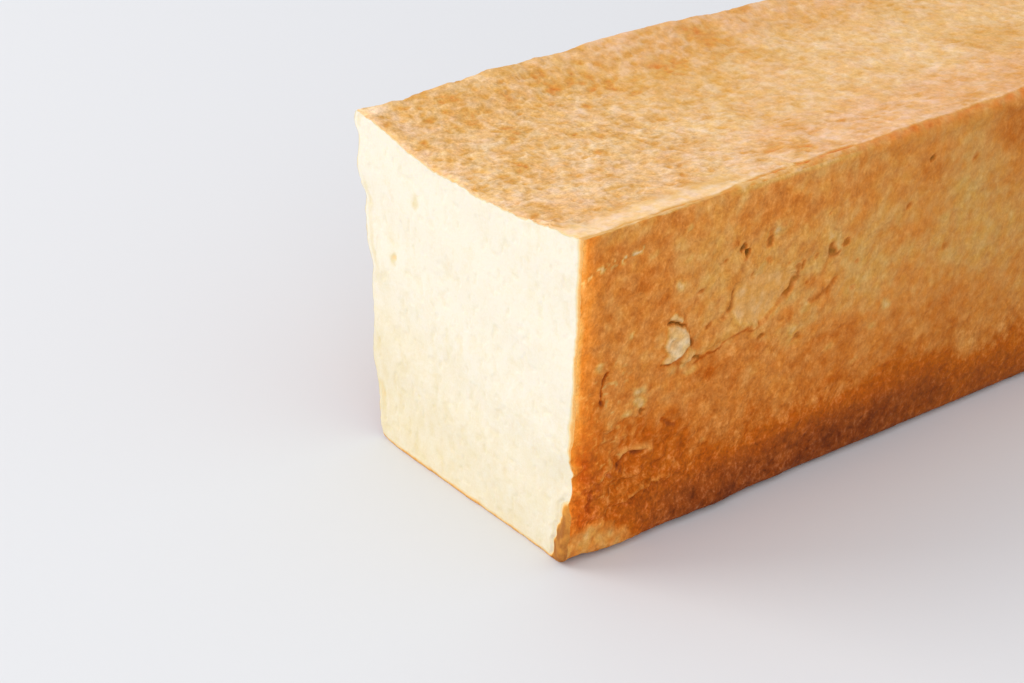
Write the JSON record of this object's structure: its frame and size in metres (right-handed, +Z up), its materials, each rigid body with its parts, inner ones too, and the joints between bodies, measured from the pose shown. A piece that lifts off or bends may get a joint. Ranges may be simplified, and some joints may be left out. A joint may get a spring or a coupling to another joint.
{
  "type": "tin loaf",
  "caption": "Square sandwich loaf baked in a lidded tin, cut square across at one end, with a sunken top, flared sides and a golden crust.",
  "frame": {"origin": "middle of the footprint of the loaf's bounding box, on the surface that it stands on", "axes": "+X across the loaf towards the long wall with the torn blister, +Y along the loaf from the cut face to the whole end, +Z up"},
  "size_m": [0.1228, 0.3, 0.1207],
  "materials": {
    "crust": "baked bread crust, dry and matt with a faint sheen on the browner side walls",
    "crumb": "soft white bread crumb, fully matt, with fine open pores"
  },
  "bodies": {
    "root": {"loaf": "crust"}
  },
  "joints": []
}
